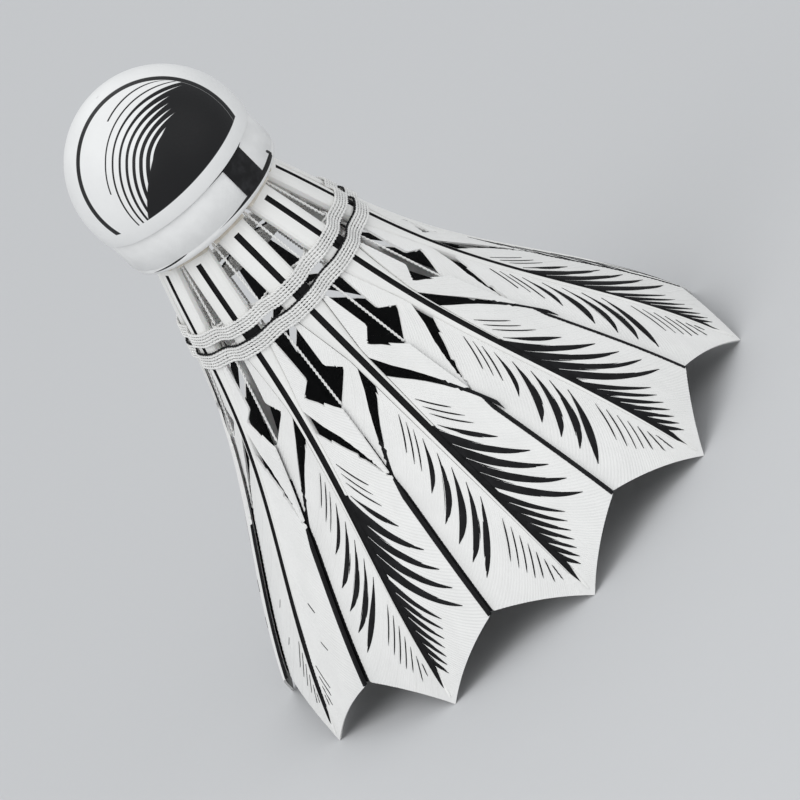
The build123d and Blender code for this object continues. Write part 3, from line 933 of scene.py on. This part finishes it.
def skin_finish(context, centre):
    """White coated leather with a dark crescent and its hatching, both painted shade, and a thin printed ring line.
    """
    tone = settings(context, "tone")
    cork = settings(context, "cork")
    finish = PrintAndPaintedShade("printed_skin", centre)
    ring_off = finish.off_axis(direction(0, cork.ring_rise))
    line = cork.ring_line
    in_ring = finish.inside(ring_off, cork.ring_angle)
    ring_line = finish.both(finish.inside(ring_off, cork.ring_angle + line), finish.maths("SUBTRACT", 1.0, in_ring))
    # The dark part is painted shade on the dome's shadow side.
    dark_off = finish.off_axis(direction(cork.painted_shade_turn, cork.painted_shade_rise))
    dark = finish.both(finish.inside(dark_off, cork.painted_shade_angle), in_ring)
    painted_shade_hatched = finish.both(hatching(finish, cork), in_ring)
    raised = finish.ease(finish.coordinate("Z"), centre - 0.00005, centre + 0.00005)
    filled = finish.both(finish.maths("MAXIMUM", dark, painted_shade_hatched), raised)
    ink = finish.maths("MAXIMUM", filled, finish.both(ring_line, raised))
    grain = finish.cells(2600)
    clouds = finish.noise(160, 3)
    white = finish.blend(finish.ease(clouds, 0.3, 0.7), shade(tone.skin, 0.965), shade(tone.skin, 1.01))
    finish.colour(finish.blend(ink, white, shade(tone.ink, 1.0)))
    finish.roughness(finish.ease(grain, 0.0, 0.8, 0.5, 0.36))
    finish.bump(grain, 0.00002, 0.35)
    return finish.material


def floor_finish(tone):
    """Plain pale floor with a faint tooth."""
    finish = Finish("floor_paint", specular=0.2)
    tooth = finish.noise(900, 3)
    drift = finish.noise(3, 2)
    finish.colour(finish.blend(finish.ease(drift, 0.3, 0.7), shade(tone.floor, 0.985), shade(tone.floor, 1.015)))
    finish.roughness(finish.ease(tooth, 0.2, 0.8, 0.75, 0.9))
    finish.bump(tooth, 0.00003, 0.2)
    return finish.material


MADE = {}


def shared(context, maker):
    """The material that this maker makes, made once for all the pieces that share it."""
    if maker not in MADE:
        MADE[maker] = maker(settings(context, "tone"))
    return MADE[maker]


# ---- Shafts ----
def shaft_section(form, skirt, height):
    """One closed ring of points round a shaft, starting at the left lip of its groove."""
    half = form.half(height)
    depth = form.depth(height)
    fit = min(1.0, 0.92 * half / (form.line + form.shift))
    roundness = 2.8
    face = [fit * (form.shift + x * form.line) for x in (-1.0, -0.7, 0.7, 1.0)]
    turns = 16
    section = []
    for number, x in enumerate(face):
        in_groove = number in (1, 2) and height < form.line_top
        sunk = form.groove * fit if in_groove else 0.0
        section.append((x, sunk + depth / 2 * (1 - (1 - (abs(x) / half) ** roundness) ** (1 / roundness))))
    shoulder = min(0.97, (face[3] + 0.00003) / half)
    start = acos(shoulder ** (roundness / 2))
    for number in range(turns):
        turn = start - (2 * start + pi) * number / (turns - 1)
        x = half * abs(cos(turn)) ** (2 / roundness) * (1 if cos(turn) > 0 else -1)
        d = depth / 2 * (1 - abs(sin(turn)) ** (2 / roundness) * (1 if sin(turn) > 0 else -1))
        section.append((x, d))
    radius = skirt_radius(skirt, height)
    return [Vector((x, -(radius - d), height)) for x, d in section]


class SHUTTLECOCK_OT_shafts(bpy.types.Operator):
    """Quill and rachis of each feather, with the painted shade of the dark groove down its outer face and over its
    leading half
    """

    bl_idname = "shuttlecock.shafts"
    bl_label = "Shafts"

    def execute(self, context):
        skirt = settings(context, "skirt")
        form = ShaftForm(context)
        horn = shared(context, quill_finish)
        marked = painted_shade_horn_finish(context)
        rings = [shaft_section(form, skirt, height) for height in self.heights(context, form)]
        for number in range(skirt.feathers):
            builder = MeshBuilder()
            builder.tube(rings, lambda segment, side: 1 if side < 7 or side > 15 else 0)
            node = f"feather_{number + 1:02d}_shaft"
            piece = builder.build(f"shaft_{number + 1:02d}", (horn, marked), 2 * number * half_pitch(skirt))
            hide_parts(node)
        return {"FINISHED"}

    def heights(self, context, form):
        """Heights of the shaft's rings: evenly spaced, with two close together where the groove starts."""
        start = settings(context, "skirt").height - settings(context, "shaft").line_start
        steps = 64
        even = [form.point + (form.top - form.point) * n / steps for n in range(steps + 1)]
        return sorted(even + [start - 0.0002, start])


# ---- Vanes ----
def barb_tube(web, builder, root, run_low, run_high, slots, lift=0.0):
    """One barb between its lower and upper edge, as a flat ridged strip with a back."""
    vane = web.vane
    pitch = vane.barb_pitch
    span = max(run_low[1] - run_low[0], run_high[1] - run_high[0])
    steps = max(2, int(span / 0.0007))
    rings = []
    for step in range(steps + 1):
        way = step / steps
        low = run_low[0] + (run_low[1] - run_low[0]) * way
        high = run_high[0] + (run_high[1] - run_high[0]) * way
        middle = (low + high) / 2
        z_low = root - 0.5 * pitch - web.drop(low)
        z_high = root + 0.5 * pitch - web.drop(high)
        z_mid = root - web.drop(middle)
        back = -vane.thickness
        rings.append(
            [
                web.point(low, z_low, lift),
                web.point(middle, z_mid, lift + vane.ridge),
                web.point(high, z_high, lift),
                web.point(high, z_high, back),
                web.point(low, z_low, back),
            ]
        )
    front, inner = slots
    builder.tube(rings, lambda segment, side: inner if side == 3 else front)


def barb_runs(web):
    """Each barb's root with the stretches of web along its lower and upper edges."""
    pitch = web.vane.barb_pitch
    count = int((web.heights.vane_top + 0.012) / pitch)
    found = []
    edges = [web.runs(number * pitch) for number in range(1, count + 2)]
    for number in range(count):
        low, high = edges[number], edges[number + 1]
        if len(low) != len(high):
            middle = web.runs((number + 1.5) * pitch)
            low = high = middle
        for pair in zip(low, high):
            found.append(((number + 1.5) * pitch, pair[0], pair[1]))
    return found


def painted_shadow_seam_band(web, builder, slots):
    """Painted shadow: a dark margin of the trailing web under the neighbour's edge, which shows as a line beside that
    edge.
    """
    half = half_pitch(web.skirt)
    vane = web.vane
    steps = 40
    rings = []
    for step in range(steps + 1):
        height = between(step / steps, (0, vane.notch), (1, web.tuck_top))
        near = web.edge(height, half) - web.shadow_seam_width(height) - 0.00002
        far = web.edge(height, half + web.skirt.lap)
        back = -vane.thickness
        rings.append(
            [
                web.point(near, height, vane.ridge),
                web.point(far, height, 0.0),
                web.point(far, height, back),
                web.point(near, height, back),
            ]
        )
    front, inner = slots
    builder.tube(rings, lambda segment, side: inner if side == 2 else front)


def painted_shadow_edge_band(web, builder):
    """Painted shadow: a dark band over the leading web's edge."""
    vane = web.vane
    steps = 40
    rings = []
    for step in range(steps + 1):
        height = between(step / steps, (0, vane.notch), (1, web.seam_top))
        outer = web.limit(height) + 0.00002
        inner = outer - 0.00004 - vane.shadow_rim_band * web.seam_share(height)
        top = vane.ridge + 0.00003
        back = -vane.thickness - 0.00002
        rings.append(
            [
                web.point(inner, height, 0.4 * top),
                web.point(inner + 0.00003, height, top),
                web.point(outer, height, top),
                web.point(outer, height, back),
                web.point(inner, height, back),
            ]
        )
    builder.tube(rings, plain(1))


def painted_shade_sliver_tail(web, builder):
    """Painted shade: a dark backing behind the thin end of an open sliver, where it runs into the seam."""
    vane = web.vane
    steps = 10
    rings = []
    for step in range(steps + 1):
        x = web.sliver_stop - vane.tail_length * (1 - step / steps)
        low = arc_height(web.sliver_lower, x) - vane.tail_margin
        high = arc_height(web.sliver_upper, x) + vane.tail_margin
        front, back = -0.3 * vane.thickness, -0.95 * vane.thickness
        rings.append(
            [
                web.point(x, low, front),
                web.point(x, high, front),
                web.point(x, high, back),
                web.point(x, low, back),
            ]
        )
    builder.tube(rings, lambda segment, side: 2 if side == 2 else 1)


def tip_sheet(webs, builder):
    """Small sheet that closes the vane's pointed tip, where its two webs meet below the shaft."""
    lead, trail = webs
    vane = lead.vane
    steps = 24
    rings = []
    for step in range(steps + 1):
        height = between(step / steps, (0, 0.00004), (1, 0.0040))
        low, high = 0.0, lead.rim_edge
        for _ in range(24):
            middle = (low + high) / 2
            if lead.rim_height(middle) < height:
                low = middle
            else:
                high = middle
        half = min(low, 0.0009)
        top = 0.8 * vane.ridge
        back = -0.95 * vane.thickness
        rings.append(
            [
                lead.point(half, height, top),
                lead.point(0.0, height, top),
                trail.point(half, height, top),
                trail.point(half, height, back),
                lead.point(half, height, back),
            ]
        )
    builder.tube(rings, lambda segment, side: 2 if side == 3 else 0)


# ---- Dark barbs: painted shade ----
def lens(way):
    """A barb's width that swells from a point and runs out to a point, as a share of its full width."""
    return sin(pi * way**1.15) ** 0.8


def hair(way):
    """A thin barb's width: even, with short points at both ends."""
    return min(1.0, 5 * way + 0.1, 5 * (1 - way) + 0.1)


def spike(way):
    """A barb's width that is full where it joins the shaft and runs out to a point."""
    return (1 - way) ** 0.6


def streak(web, builder, root, start, stop, width, profile, bow=0.0, lean=0.0):
    """One dark barb of painted shade that follows its neighbours' curve, with its width from a profile."""
    steps = max(6, int((stop - start) / 0.0004))
    lift = web.vane.ridge + web.streak.lift
    rings = []
    for step in range(steps + 1):
        way = step / steps
        x = start + (stop - start) * way
        height = root - web.drop(x) - bow * sin(pi * way) - lean * (x - start)
        half = max(0.03 * width, profile(way) * width / 2)
        slant = web.vane.barb_angle + web.vane.barb_turn * x
        step_x = half * cos(slant)
        step_z = half * sin(slant)
        rings.append(
            [
                web.point(x - step_x, height - step_z, 0.4 * lift),
                web.point(x, height, lift),
                web.point(x + step_x, height + step_z, 0.4 * lift),
                web.point(x, height, -0.0001),
            ]
        )
    builder.tube(rings, plain(1))


def hair_barbs(web, builder, chance):
    """Hair-thin dark barbs, clear of the shaft."""
    mark = web.streak
    for number in range(mark.hair_count):
        root = mark.hair_first - mark.hair_step * number
        stop = mark.hair_reach + 0.0002 * number + chance.uniform(-0.0002, 0.0002)
        streak(web, builder, root, mark.detach, stop, mark.hair_width, hair)


def bold_barbs(web, builder, chance):
    """Long bold barbs: joined to the shaft on the leading side, clear of it on the trailing side."""
    mark = web.streak
    for number in range(mark.bold_count):
        root = mark.bold_first - mark.bold_step * number + (0.0 if web.side > 0 else mark.trail_rise)
        share_done = number / (mark.bold_count - 1)
        way = min(1.0, share_done**0.4)
        stop = mark.bold_start + (mark.bold_reach - mark.bold_start) * way + chance.uniform(-0.0002, 0.0002)
        width = mark.bold_width * (0.68 if number == 0 else 1.0)
        if web.side < 0:
            bow = mark.bold_bow * (1 - 2 * share_done**6)
            streak(web, builder, root, mark.detach, stop, width, lens, bow)
        elif number == 0:
            streak(web, builder, root, 0.0012, stop, width, lens)
        else:
            streak(web, builder, root, 0.3 * web.shaft.half(root), stop, 1.45 * width, spike)


def fine_teeth(web, builder, chance):
    """Short pointed barbs towards the tip, joined to the shaft on the leading side."""
    mark = web.streak
    for number in range(mark.fine_count):
        root = mark.fine_first - mark.fine_step * number
        stop = mark.fine_reach - mark.fine_fall * number + chance.uniform(-0.0001, 0.0001)
        streak(web, builder, root, 0.3 * web.shaft.half(root), stop, mark.fine_width, spike)


def fine_hairs(web, builder, chance, first=0, share_reach=1.0):
    """Hair-thin barbs towards the tip, clear of the shaft, each nearer to the shaft's line than the one before."""
    mark = web.streak
    for number in range(first, mark.fine_count):
        way = number / (mark.fine_count - 1)
        root = mark.fine_first - mark.fine_hair_step * number
        start = mark.detach - 0.0003 * way**5
        reach = 0.0033 - 0.0004 * way - 0.0026 * way**2 + chance.uniform(-0.0001, 0.0001)
        streak(web, builder, root, start, start + share_reach * reach, mark.hair_width, hair, lean=5 * way**9)


def few_hairs(web, builder, chance):
    """Painted shade marks of a faint feather: a few hair-thin barbs, most of them towards the tip."""
    mark = web.streak
    fine_hairs(web, builder, chance, 1 if web.side < 0 else 3, 0.8)
    for number in range(2):
        root = mark.bold_first - (2.2 + 1.7 * number) * mark.bold_step
        start = 0.0042 + 0.0006 * number
        streak(web, builder, root, start, start + 0.0011, 0.8 * mark.hair_width, hair)


class SHUTTLECOCK_OT_vanes(bpy.types.Operator):
    """Both webs of each feather, barb by barb, with their dark barbs, seams and bands of painted shade"""

    bl_idname = "shuttlecock.vanes"
    bl_label = "Vanes"

    def execute(self, context):
        skirt = settings(context, "skirt")
        chance = random.Random(settings(context, "streak").seed)
        finishes = [shared(context, maker) for maker in (vane_finish, painted_shade_finish, painted_shade_inside_finish)]
        made = {}
        for side in (1, -1):
            for closed in (False, True):
                web = Web(context, side, closed)
                made[side, closed] = (web, barb_runs(web))
        for number in range(skirt.feathers):
            builder = MeshBuilder()
            pairs = [made[side, self.closed(skirt, number, side)] for side in (1, -1)]
            faint = 0 <= number + 1 - settings(context, "streak").faint_first < 2
            for web, barbs in pairs:
                for root, low, high in barbs:
                    barb_tube(web, builder, root, low, high, (0, 2), chance.uniform(-0.00001, 0.00002))
                self.marks(web, builder, chance, faint)
                if not self.closed(skirt, number, web.side):
                    painted_shade_sliver_tail(web, builder)
            lead, trail = pairs[0][0], pairs[1][0]
            painted_shadow_seam_band(trail, builder, (1, 2))
            painted_shadow_edge_band(lead, builder)
            tip_sheet((lead, trail), builder)
            piece = builder.build(f"vane_{number + 1:02d}", finishes, 2 * number * half_pitch(skirt))
            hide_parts(f"feather_{number + 1:02d}_vane")
        return {"FINISHED"}


    def closed(self, skirt, number, side):
        """True where the sliver stops short of the edge: on the side that faces away from the first feather."""
        seam = (2 * number + side) % (2 * skirt.feathers)
        return (seam < skirt.feathers) != (side > 0)

    def marks(self, web, builder, chance, faint):
        """The dark barbs of one web, which are painted shade."""
        if faint:
            few_hairs(web, builder, chance)
            return
        hair_barbs(web, builder, chance)
        bold_barbs(web, builder, chance)
        if web.side > 0:
            fine_teeth(web, builder, chance)
        else:
            fine_hairs(web, builder, chance)


# ---- Thread ----
def twisted(builder, path, ply, twists, closed):
    """Two plies twisted round a path of (place, outward, along) triples."""
    sides = 6
    count = len(path)
    for strand in range(2):
        rings = []
        for number, (place, outward, along) in enumerate(path):
            turn = 2 * pi * (twists * number / count + strand / 2)
            side = along.cross(outward)
            middle = place + ply * (cos(turn) * outward + sin(turn) * side)
            ring = []
            for corner in range(sides):
                around = 2 * pi * corner / sides
                ring.append(middle + ply * (cos(around) * outward + sin(around) * side))
            rings.append(ring)
        builder.tube(rings, plain(0), closed)


def binding_path(context, form, height, front):
    """One turn of thread round all the quills, over their outer faces or behind them."""
    skirt = settings(context, "skirt")
    thread = settings(context, "thread")
    outer = skirt_radius(skirt, height)
    depth = form.depth(height)
    reach = thread.clearance + 2 * thread.ply
    half = half_pitch(skirt)
    covered = (form.half(height) + reach) / outer
    count = skirt.feathers * 28
    path = []
    for number in range(count):
        turn = 2 * pi * number / count
        off = abs((turn + half) % (2 * half) - half)
        way = min(1.0, max(0.0, (off - 0.55 * covered) / (half - 0.55 * covered)))
        sink = 0.5 - 0.5 * cos(pi * way)
        if front:
            radius = outer + reach - thread.dip * sink
        else:
            radius = outer - depth - reach + (depth + 2 * reach - thread.dip - 2.2 * thread.ply) * sink
        outward = Vector((sin(turn), -cos(turn), 0))
        along = Vector((cos(turn), sin(turn), 0))
        path.append((outward * radius + Vector((0, 0, height)), outward, along))
    return path


class SHUTTLECOCK_OT_bindings(bpy.types.Operator):
    """Two bands of twisted thread wound over and behind the quills"""

    bl_idname = "shuttlecock.bindings"
    bl_label = "Bindings"

    def execute(self, context):
        thread = settings(context, "thread")
        heights = Heights(context)
        form = ShaftForm(context)
        white = shared(context, thread_finish)
        skirt = settings(context, "skirt")
        for name, top in (("binding_upper", heights.upper_binding), ("binding_lower", heights.lower_binding)):
            builder = MeshBuilder()
            for turn in range(thread.turns):
                height = top - thread.width * (turn + 0.5) / thread.turns
                for front in (True, False):
                    path = binding_path(context, form, height, front)
                    girth = 2 * pi * skirt_radius(skirt, height)
                    twisted(builder, path, thread.ply, round(girth / thread.twist), True)
            piece = builder.build(name + "_thread", (white,), smooth=True)
            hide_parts(name)
        # A dark ply along the lower binding's top edge: a painted shadow line between the bindings.
        builder = MeshBuilder()
        path = binding_path(context, form, heights.lower_binding + 1.2 * thread.ply, True)
        twisted(builder, path, 0.8 * thread.ply, 90, True)
        piece = builder.build("binding_lower_edge", (shared(context, painted_shade_finish),), smooth=True)
        return {"FINISHED"}


class SHUTTLECOCK_OT_stays(bpy.types.Operator):
    """Threads that run down between the feathers, from the cork to the vanes"""

    bl_idname = "shuttlecock.stays"
    bl_label = "Stays"

    def execute(self, context):
        skirt = settings(context, "skirt")
        thread = settings(context, "thread")
        white = shared(context, thread_finish)
        for name in ("stays_upper", "stays_lower"):
            low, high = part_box(name)
            builder = MeshBuilder()
            for number in range(skirt.feathers):
                turn = (2 * number + 1) * half_pitch(skirt)
                self.stay(context, builder, turn, low[2], high[2])
            piece = builder.build(name + "_thread", (white,), smooth=True)
            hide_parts(name)
        return {"FINISHED"}

    def stay(self, context, builder, turn, low, high):
        """One straight stay at this turn."""
        skirt = settings(context, "skirt")
        thread = settings(context, "thread")
        outward = Vector((sin(turn), -cos(turn), 0))
        steps = 40
        path = []
        inset = 0.0009
        for step in range(steps + 1):
            height = low + (high - low) * step / steps
            straight = between(height, (low, skirt_radius(skirt, low)), (high, skirt_radius(skirt, high)))
            path.append((outward * (straight - inset) + Vector((0, 0, height)), outward, Vector((0, 0, 1))))
        twisted(builder, path, thread.stay_ply, (high - low) / thread.twist, False)


# ---- Cork ----
def revolve(profile, steps, name, materials, slots=None):
    """A closed solid of revolution round +Z from (radius, height) points, listed round its outline."""
    builder = MeshBuilder()
    rings = []
    for step in range(steps):
        turn = 2 * pi * step / steps
        rings.append([Vector((sin(turn) * r, -cos(turn) * r, z)) for r, z in profile])
    builder.tube(rings, slots or plain(0), True)
    return builder.build(name, materials, smooth=True)


class SHUTTLECOCK_OT_skin(bpy.types.Operator):
    """Coated skin over the cork's dome and collar, with its print and painted shade"""

    bl_idname = "shuttlecock.skin"
    bl_label = "Cork skin"

    def execute(self, context):
        cork = settings(context, "cork")
        low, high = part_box("cork_skin")
        radius = high[0]
        centre = high[2] - radius
        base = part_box("ribbon")[1][2] + 0.00005
        outline = [(radius - 2 * cork.skin, base), (radius - cork.edge_round, base)]
        outline.append((radius - 0.3 * cork.edge_round, base + 0.3 * cork.edge_round))
        outline.append((radius, base + cork.edge_round))
        steps = 48
        for step in range(steps + 1):
            turn = pi / 2 * step / steps
            outline.append((max(0.00001, radius * cos(turn)), centre + radius * sin(turn)))
        for step in range(steps, -1, -1):
            turn = pi / 2 * step / steps
            inner = radius - 2 * cork.skin
            outline.append((max(0.00001, inner * cos(turn)), centre + inner * sin(turn)))
        piece = revolve(outline, 160, "skin", (skin_finish(context, centre),))
        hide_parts("cork_skin")
        return {"FINISHED"}


class SHUTTLECOCK_OT_ribbon(bpy.types.Operator):
    """Woven ribbon round the cork's foot, its turned-in edge and its dark block"""

    bl_idname = "shuttlecock.ribbon"
    bl_label = "Ribbon"

    def execute(self, context):
        white = shared(context, ribbon_finish)
        dark = shared(context, block_finish)
        low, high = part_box("ribbon")
        outer = high[0]
        wall = 0.0004
        crease = 0.0642
        outline = [
            (outer - wall, high[2] - 0.0001),
            (outer - wall * 0.5, high[2]),
            (outer - 0.00006, high[2] - 0.00006),
            (outer, high[2] - 0.00015),
            (outer, crease + 0.0001),
            (outer - 0.00012, crease),
            (outer - 0.00002, crease - 0.0001),
            (outer - 0.0003, low[2] + 0.0005),
            (outer - 0.0015, low[2]),
            (outer - 0.0019, low[2] + 0.0002),
            (outer - 0.0004 - wall, low[2] + 0.0008),
            (outer - wall, crease),
        ]
        piece = revolve(outline, 200, "ribbon_band", (white,))
        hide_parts("ribbon")
        for node in ("ribbon_block",):
            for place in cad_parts[node].material_slots:
                place.material = dark
        return {"FINISHED"}


class SHUTTLECOCK_OT_cork(bpy.types.Operator):
    """Finishes for the cork, its nose and the glue, whose solids keep their shapes"""

    bl_idname = "shuttlecock.cork"
    bl_label = "Cork"

    def execute(self, context):
        bare = shared(context, cork_finish)
        glue = shared(context, glue_finish)
        for nodes, finish in ((("cork_body", "cork_nose"), bare), (("cork_joint_glue", "glue_beads"), glue)):
            for node in nodes:
                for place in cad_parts[node].material_slots:
                    place.material = finish
        return {"FINISHED"}


# ---- Stage ----
class SHUTTLECOCK_OT_stage(bpy.types.Operator):
    """Floor, soft lights, world and camera"""

    bl_idname = "shuttlecock.stage"
    bl_label = "Stage"

    def execute(self, context):
        self.floor(context)
        self.camera(context)
        self.lights(context)
        self.world(context)
        context.scene.view_settings.view_transform = "Standard"
        return {"FINISHED"}

    def floor(self, context):
        """A wide floor under the feather tips."""
        size = 3.0
        mesh = bpy.data.meshes.new("floor")
        corners = [(-size, -size, 0), (size, -size, 0), (size, size, 0), (-size, size, 0)]
        mesh.from_pydata(corners, [], [(0, 1, 2, 3)])
        mesh.materials.append(shared(context, floor_finish))
        piece = bpy.data.objects.new("floor", mesh)
        context.scene.collection.objects.link(piece)

    def camera(self, context):
        """Camera in front of the first feather, rolled so that the cork is at the upper left."""
        stage = settings(context, "stage")
        data = bpy.data.cameras.new("camera")
        data.lens = stage.lens
        data.sensor_width = 36.0
        eye = bpy.data.objects.new("camera", data)
        distance = stage.span * stage.lens / data.sensor_width
        aim = Vector((0, 0, 0.0236))
        eye.location = aim + distance * direction(0, stage.elevation)
        level = (aim - eye.location).to_track_quat("-Z", "Y")
        eye.rotation_euler = (level.to_matrix() @ Matrix.Rotation(-stage.roll, 3, "Z")).to_euler()
        context.scene.collection.objects.link(eye)
        context.scene.camera = eye

    def lights(self, context):
        """Soft lights from the upper front and both sides."""
        for name, turn, rise, power, size in (
            ("key_light", -35, 55, 4.2, 0.9),
            ("fill_light", 50, 25, 1.8, 1.1),
            ("back_light", 175, 40, 1.3, 0.9),
        ):
            data = bpy.data.lights.new(name, "AREA")
            data.energy = power
            data.size = size
            lamp = bpy.data.objects.new(name, data)
            lamp.location = 1.1 * direction(radians(turn), radians(rise))
            lamp.rotation_euler = (-lamp.location).to_track_quat("-Z", "Y").to_euler()
            context.scene.collection.objects.link(lamp)

    def world(self, context):
        """Even light from all round."""
        world = bpy.data.worlds.new("room")
        world.use_nodes = True
        backdrop = world.node_tree.nodes["Background"]
        backdrop.inputs["Color"].default_value = (0.955, 0.98, 1.0, 1.0)
        backdrop.inputs["Strength"].default_value = 0.62
        context.scene.world = world


OPERATORS = (
    SHUTTLECOCK_OT_stage,
    SHUTTLECOCK_OT_shafts,
    SHUTTLECOCK_OT_vanes,
    SHUTTLECOCK_OT_bindings,
    SHUTTLECOCK_OT_stays,
    SHUTTLECOCK_OT_cork,
    SHUTTLECOCK_OT_skin,
    SHUTTLECOCK_OT_ribbon,
)


class SHUTTLECOCK_PT_panel(bpy.types.Panel):
    """Lists the shuttlecock's settings and the operators that build it"""

    bl_idname = "SHUTTLECOCK_PT_panel"
    bl_label = "Shuttlecock"
    bl_space_type = "VIEW_3D"
    bl_region_type = "UI"
    bl_category = "Shuttlecock"

    def draw(self, context):
        for operator in OPERATORS:
            self.layout.operator(operator.bl_idname)
        for group in SETTINGS:
            box = self.layout.box()
            for name in settings(context, group).__annotations__:
                box.prop(settings(context, group), name)


def register():
    """Add the settings, operators and panel to Blender."""
    for group, kind in SETTINGS.items():
        bpy.utils.register_class(kind)
        setattr(bpy.types.Scene, "shuttlecock_" + group, PointerProperty(type=kind))
    for operator in OPERATORS:
        bpy.utils.register_class(operator)
    bpy.utils.register_class(SHUTTLECOCK_PT_panel)


def unregister():
    """Take them out again."""
    bpy.utils.unregister_class(SHUTTLECOCK_PT_panel)
    for operator in reversed(OPERATORS):
        bpy.utils.unregister_class(operator)
    for group, kind in reversed(SETTINGS.items()):
        delattr(bpy.types.Scene, "shuttlecock_" + group)
        bpy.utils.unregister_class(kind)


def main():
    """Build the whole shuttlecock."""
    register()
    for operator in OPERATORS:
        getattr(bpy.ops.shuttlecock, operator.bl_idname.split(".")[1])()


if __name__ == "__main__":
    main()
